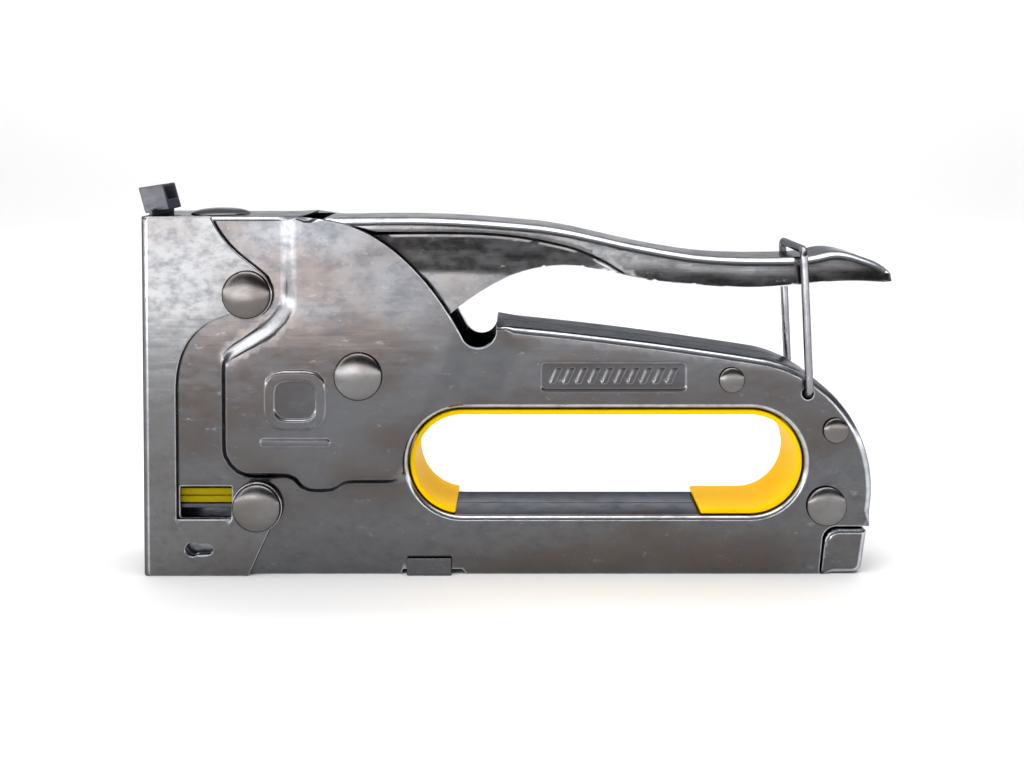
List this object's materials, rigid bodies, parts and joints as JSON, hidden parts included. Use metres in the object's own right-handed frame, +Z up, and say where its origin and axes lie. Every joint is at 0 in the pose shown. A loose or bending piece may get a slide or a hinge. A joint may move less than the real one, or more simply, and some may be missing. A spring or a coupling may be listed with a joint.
{
  "type": "staple gun",
  "caption": "Hand staple gun: pressed-steel body with a lined finger hole, squeeze lever locked by a wire bail, and a slide-out magazine.",
  "frame": {"origin": "bottom centre of the bounding box, on the surface that the tool stands on", "axes": "+X from the nose, where the staple leaves, to the tail; +Z up through the top of the body; Y across, symmetric about the middle plane"},
  "size_m": [0.1704, 0.0252, 0.0878],
  "materials": {
    "nickel_plate": "bright nickel plate on pressed steel, lightly brushed and marked",
    "dark_steel": "dark oiled steel",
    "spring_steel": "polished spring steel",
    "zinc_plate": "dull zinc plate",
    "yellow_plastic": "glossy moulded plastic"
  },
  "bodies": {
    "housing": {"left_shell": "nickel_plate", "right_shell": "nickel_plate", "front_cover": "nickel_plate", "nose_guide_plate": "dark_steel", "spring_cap": "nickel_plate", "power_spring": "spring_steel", "striker_bumper": "yellow_plastic", "bumper_bridge": "dark_steel", "magazine_channel": "zinc_plate", "grip_liner": "yellow_plastic", "bottom_clip": "dark_steel", "front_upper_rivet": "nickel_plate", "front_lower_rivet": "nickel_plate", "lever_pivot_rivet": "nickel_plate", "rear_lower_rivet": "nickel_plate", "rear_upper_rivet": "nickel_plate", "grip_rivet": "nickel_plate", "rear_lower_spacer": "zinc_plate", "rear_upper_spacer": "zinc_plate", "grip_spacer": "zinc_plate", "pivot_sleeve": "zinc_plate", "lever_return_spring": "spring_steel"},
    "lever": {"lever": "nickel_plate", "lift_arm": "dark_steel", "lift_arm_pin": "zinc_plate"},
    "bail": {"bail": "nickel_plate"},
    "striker": {"striker_blade": "spring_steel", "striker_carrier": "dark_steel"},
    "magazine": {"magazine_rail": "zinc_plate", "pusher_rod": "spring_steel", "pusher_spring": "spring_steel", "tail_cap": "nickel_plate", "magazine_catch": "spring_steel"},
    "pusher": {"staple_pusher": "zinc_plate"}
  },
  "joints": [
    {"name": "lever_squeeze", "type": "hinge", "parent": "housing", "child": "lever", "pos_m": [-0.0344, 0, 0.0452], "axis": [0, 1, 0], "range_deg": [0, 8], "stiffness_Nm_per_rad": 1, "springref_deg": -17.19, "deforming": ["lever_return_spring"]},
    {"name": "bail_swing", "type": "hinge", "parent": "housing", "child": "bail", "pos_m": [0.0663, 0, 0.0409], "axis": [0, 1, 0], "range_deg": [0, 120]},
    {"name": "striker_lift", "type": "slide", "parent": "housing", "child": "striker", "axis": [0, 0, 1], "range_m": [0, 0.0145], "stiffness_N_per_m": 800, "springref_m": -0.02, "deforming": ["power_spring"]},
    {"name": "magazine_pull", "type": "slide", "parent": "housing", "child": "magazine", "axis": [1, 0, 0], "range_m": [0, 0.095]},
    {"name": "pusher_feed", "type": "slide", "parent": "magazine", "child": "pusher", "axis": [1, 0, 0], "range_m": [0, 0.09], "stiffness_N_per_m": 20, "springref_m": -0.05, "deforming": ["pusher_spring"]}
  ],
  "couplings": [
    {"joint": "bail_swing", "follows": "lever_squeeze", "ratio": 15}
  ]
}
